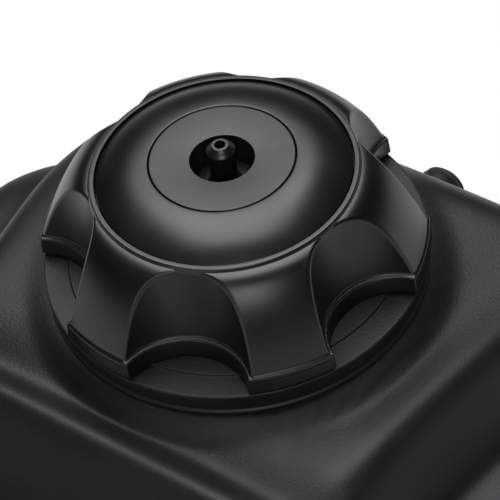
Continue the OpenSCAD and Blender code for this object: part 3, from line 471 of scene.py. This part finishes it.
def grip_distance(p):
    """Signed distance to the grip, about the cap's axis with the rim at height nought."""
    r = np.hypot(p[..., 0], p[..., 1])
    z = p[..., 2]
    sixth = math.pi / 3
    a = (np.arctan2(p[..., 1], p[..., 0]) + sixth / 2) % sixth - sixth / 2
    x, y = r * np.cos(a), r * np.sin(a)
    cs, sn = math.cos(SCALLOP_DRAFT), math.sin(SCALLOP_DRAFT)
    to_axis = np.hypot((x - SCALLOP_AXIS_R) * cs + z * sn, y)
    reach = np.maximum(r - RIM_R, 0) / (CREASE_R - RIM_R)
    slope = FLARE_H * FLARE_POWER / (CREASE_R - RIM_R) * reach ** (FLARE_POWER - 1)
    flare = (z + FLARE_H * reach ** FLARE_POWER) / np.sqrt(1 + slope ** 2)
    upper = round_max(flare, SCALLOP_R - to_axis, 0.6)
    upper = np.maximum(upper, -FLARE_H - 0.6 - z)
    lean = BAND_R - BAND_LEAN * (z + FLARE_H + BAND_H) / BAND_H
    band = round_max(round_max(r - lean, z + FLARE_H, 0.25), SCALLOP_R - SCALLOP_LAND - to_axis, 0.3)
    band = round_max(band, -FLARE_H - BAND_H - z, 0.4)
    blend = np.maximum(CREASE_BLEND - np.abs(upper - band), 0)
    solid = np.minimum(upper, band) - blend * blend / (4 * CREASE_BLEND)
    inner = np.maximum(r - RIM_R + 2, 0) / (CREASE_R - GRIP_WALL - RIM_R + 2)
    roof = LEDGE_Z - RIM_Z - FLARE_H * inner ** FLARE_POWER
    hollow = np.maximum((z - roof) * 0.7, SCALLOP_R + GRIP_WALL - to_axis)
    solid = np.maximum(solid, -hollow)
    solid = np.maximum(solid, -np.maximum(r - RIM_BORE_R, COVER_SEAT_Z - RIM_Z - z))
    return np.maximum(solid, -np.maximum(r - 25.8, LEDGE_Z - RIM_Z - 1 - z))


def gradient(distance, p, step=0.02):
    return np.stack([(distance(p + d) - distance(p - d)) / (2 * step) for d in np.eye(3) * step], -1)


def surface_net(distance, low, high, step):
    """Points, faces and normals of the surface where a distance function is nought."""
    axes = [np.arange(l, h + step, step) for l, h in zip(low, high)]
    values = distance(np.stack(np.meshgrid(*axes, indexing="ij"), -1))
    inside = values < 0
    corner = [inside[i:i - 1 or None, j:j - 1 or None, k:k - 1 or None]
              for i in (0, 1) for j in (0, 1) for k in (0, 1)]
    count = sum(c.astype(np.int8) for c in corner)
    cells = np.argwhere((count > 0) & (count < 8))
    index = -np.ones(count.shape, int)
    index[tuple(cells.T)] = np.arange(len(cells))
    total, hits = np.zeros((len(cells), 3)), np.zeros(len(cells))
    shifts = [np.array(s) for s in np.ndindex(2, 2, 2)]
    for a in shifts:
        for axis in range(3):
            if a[axis]:
                continue
            b = a + np.eye(3, dtype=int)[axis]
            va, vb = values[tuple((cells + a).T)], values[tuple((cells + b).T)]
            cross = (va < 0) != (vb < 0)
            t = np.where(cross, va / np.where(cross, va - vb, 1), 0)
            total += np.where(cross[:, None], a + t[:, None] * (b - a), 0)
            hits += cross
    points = np.array(low) + (cells + total / hits[:, None]) * step
    faces = []
    for axis in range(3):
        u, v = (axis + 1) % 3, (axis + 2) % 3
        ahead = np.moveaxis(inside, axis, 0)
        change = np.moveaxis(ahead[:-1] != ahead[1:], 0, axis)
        edges = np.argwhere(change)
        edges = edges[(edges[:, u] > 0) & (edges[:, v] > 0) & (edges[:, u] < inside.shape[u] - 1)
                      & (edges[:, v] < inside.shape[v] - 1)]
        eu, ev = np.eye(3, dtype=int)[u], np.eye(3, dtype=int)[v]
        quad = np.stack([index[tuple((edges - s).T)] for s in (eu + ev, ev, 0 * eu, eu)], 1)
        outward = inside[tuple(edges.T)]
        faces += [tuple(q) if o else tuple(q[::-1]) for q, o in zip(quad.tolist(), outward)]
    for _ in range(3):
        g = gradient(distance, points)
        pull = np.clip(distance(points), -step, step) / np.maximum((g * g).sum(1), 0.3)
        points -= pull[:, None] * g
    g = gradient(distance, points)
    return points, faces, g / np.linalg.norm(g, axis=1)[:, None]


def about_cap_axis(points, height):
    c, s = math.cos(CAP_TURN), math.sin(CAP_TURN)
    return np.asarray(points) @ np.array([(c, s, 0), (-s, c, 0), (0, 0, 1)]) + (FILLER_X, 0, height)


def cap_pieces():
    points, faces, normals = surface_net(grip_distance, (-46.6, -46.6, -24.6), (46.6, 46.6, 1.0), NET_STEP)
    grip = mesh_piece("grip_moulding", about_cap_axis(points, RIM_Z), faces, "cap", "cap_moulding", CAP_NYLON,
                      about_cap_axis(normals, 0) - (FILLER_X, 0, 0))
    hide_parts("cap_grip")
    top = (FILLER_X, 0, RIM_Z)
    rim = rounded([(RIM_BORE_R, -1.6, 0), (RIM_BORE_R, 0.7, 0.15), (30.65, 0.7, 0.4), (31.05, -0.1, 0.2),
                   (31.2, -0.7, 0)])
    mesh_piece("grip_rim", *lathe(rim, top, 240), "cap", "cap_moulding", CAP_NYLON)
    dome = [(r, 0.4 + 3.6 * (1 - ((r - 16.7) / 12.2) ** 2.2), 0) for r in np.linspace(28.9, 16.7, 24)]
    cover = rounded([(16.7, 1.8, 0), (24.7, -0.7, 0), (24.7, -1.6, 0), (29.2, -1.6, 0.3), (29.2, 0.25, 0.3)]
                    + dome[1:-1] + [(16.85, 3.98, 0.25), (16.7, 3.5, 0)])
    piece = mesh_piece("dome_cover", *lathe(cover, top, 200), "cap", "cap_moulding", CAP_NYLON)
    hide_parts("cap_cover")
    disc = rounded([(7.45, -4.9, 0), (9.05, -4.9, 0), (9.05, 1.8, 0), (16.6, 1.8, 0), (16.6, 4.05, 0.35),
                    (7.45, 3.62, 0.7)])
    piece = mesh_piece("centre_disc", *lathe(disc, top, 200), "cap", "cap_moulding", CAP_NYLON)
    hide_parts("cap_centre_disc")
    nipple = rounded([(1.3, -4.9, 0), (7.15, -4.9, 0), (7.15, -3.5, 0.3), (4.0, -3.5, 0.6), (3.05, -2.6, 0.6),
                      (3.05, 5.4, 0.1), (3.3, 5.5, 0.15), (3.3, 6.3, 0.3), (2.6, 7.0, 0.1), (2.55, 7.2, 0.1),
                      (1.95, 7.9, 0.25), (1.3, 7.9, 0.2)])
    piece = mesh_piece("nipple_barb", *lathe(nipple, top, 72), "cap", "cap_moulding", CAP_NYLON)
    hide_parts("vent_nipple")


cap_pieces()

# Carried-over solids take the finish of their own material
FINISHES = {
    TAP_ALLOY: ("tap_body", "tap_lever"),
    ZINC_STEEL: ("tap_screws", "tap_washers", "tap_wave_washer", "tap_lever_plate", "tap_plate_screws"),
    BLACK_STEEL: ("rear_sleeve", "front_sleeve"),
    BRASS: ("tap_threaded_inserts", "tap_standpipe", "shroud_threaded_inserts"),
    RUBBER: ("tap_flange_gasket", "tap_valve_packing", "cap_gasket", "rear_grommet", "front_grommet"),
    CAP_NYLON: ("cap_insert",),
    STRAINER_NYLON: ("tap_strainer",),
}
for finish, names in FINISHES.items():
    for name in names:
        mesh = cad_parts[name].data
        mesh.materials.clear()
        mesh.materials.append(finish)


# Stage, light and camera

def stage():
    floor_mesh = bpy.data.meshes.new("floor")
    half, low, glow_share = 6, -2e-4, 0.95
    corners = [(-half, -half, low), (half, -half, low), (half, half, low), (-half, half, low)]
    floor_mesh.from_pydata(corners, [], [(0, 1, 2, 3)])
    floor = bpy.data.objects.new("floor", floor_mesh)
    bpy.context.scene.collection.objects.link(floor)
    # Matt white paper: white to the camera and in reflections, and still shaded under the tank
    paper = bpy.data.materials.new("matt_white_paper")
    paper.use_nodes = True
    tree = paper.node_tree
    shader = tree.nodes["Principled BSDF"]
    shader.inputs["Base Color"].default_value = linear("#f2f2f0")
    shader.inputs["Roughness"].default_value = 0.9
    path = add(tree, "ShaderNodeLightPath")
    seen = add(tree, "ShaderNodeMath", {0: path.outputs["Is Camera Ray"], 1: path.outputs["Is Glossy Ray"]},
               operation="MAXIMUM")
    seen = add(tree, "ShaderNodeMath", {0: seen.outputs["Value"], 1: path.outputs["Is Transmission Ray"]},
               operation="MAXIMUM")
    share = add(tree, "ShaderNodeMath", {0: seen.outputs["Value"]}, operation="MULTIPLY")
    share.inputs[1].default_value = glow_share
    glow = add(tree, "ShaderNodeEmission", Color=(1, 1, 1, 1), Strength=1.0)
    both = add(tree, "ShaderNodeMixShader", {0: share.outputs["Value"], 1: shader.outputs["BSDF"],
                                             2: glow.outputs["Emission"]})
    tree.links.new(both.outputs["Shader"], tree.nodes["Material Output"].inputs["Surface"])
    floor_mesh.materials.append(paper)

    world = bpy.data.worlds.new("soft_room")
    bpy.context.scene.world = world
    world.use_nodes = True
    world.node_tree.nodes["Background"].inputs["Color"].default_value = linear("#1c1c1c")
    world.node_tree.nodes["Background"].inputs["Strength"].default_value = 1.0


def softbox(name, place, aim, size, watts):
    light = bpy.data.lights.new(name, "AREA")
    light.shape = "RECTANGLE"
    light.size, light.size_y = size
    light.energy = watts
    lamp = bpy.data.objects.new(name, light)
    lamp.location = place
    lamp.rotation_euler = (Vector(aim) - Vector(place)).to_track_quat("-Z", "Y").to_euler()
    bpy.context.scene.collection.objects.link(lamp)


stage()
softbox("overhead_softbox", (0.310, 0.238, 1.090), (FILLER_X * MM, 0, 0.16), (0.66, 0.86), 13.2)
softbox("left_fill", (-0.85, -0.06, 0.40), (FILLER_X * MM, 0, 0.15), (0.45, 0.35), 0.9)
softbox("front_fill", (-0.66, -0.58, 0.95), (FILLER_X * MM, 0, 0.15), (0.6, 0.6), 6.0)

lens = bpy.data.cameras.new("product_camera")
lens.sensor_width, lens.lens = 36.0, 128.03
camera = bpy.data.objects.new("product_camera", lens)
camera.location = (-0.184731, -0.185106, 0.452649)
camera.rotation_euler = [math.radians(a) for a in (42.431, 5.845, -56.482)]
bpy.context.scene.collection.objects.link(camera)
bpy.context.scene.camera = camera
bpy.context.scene.view_settings.view_transform = "Standard"
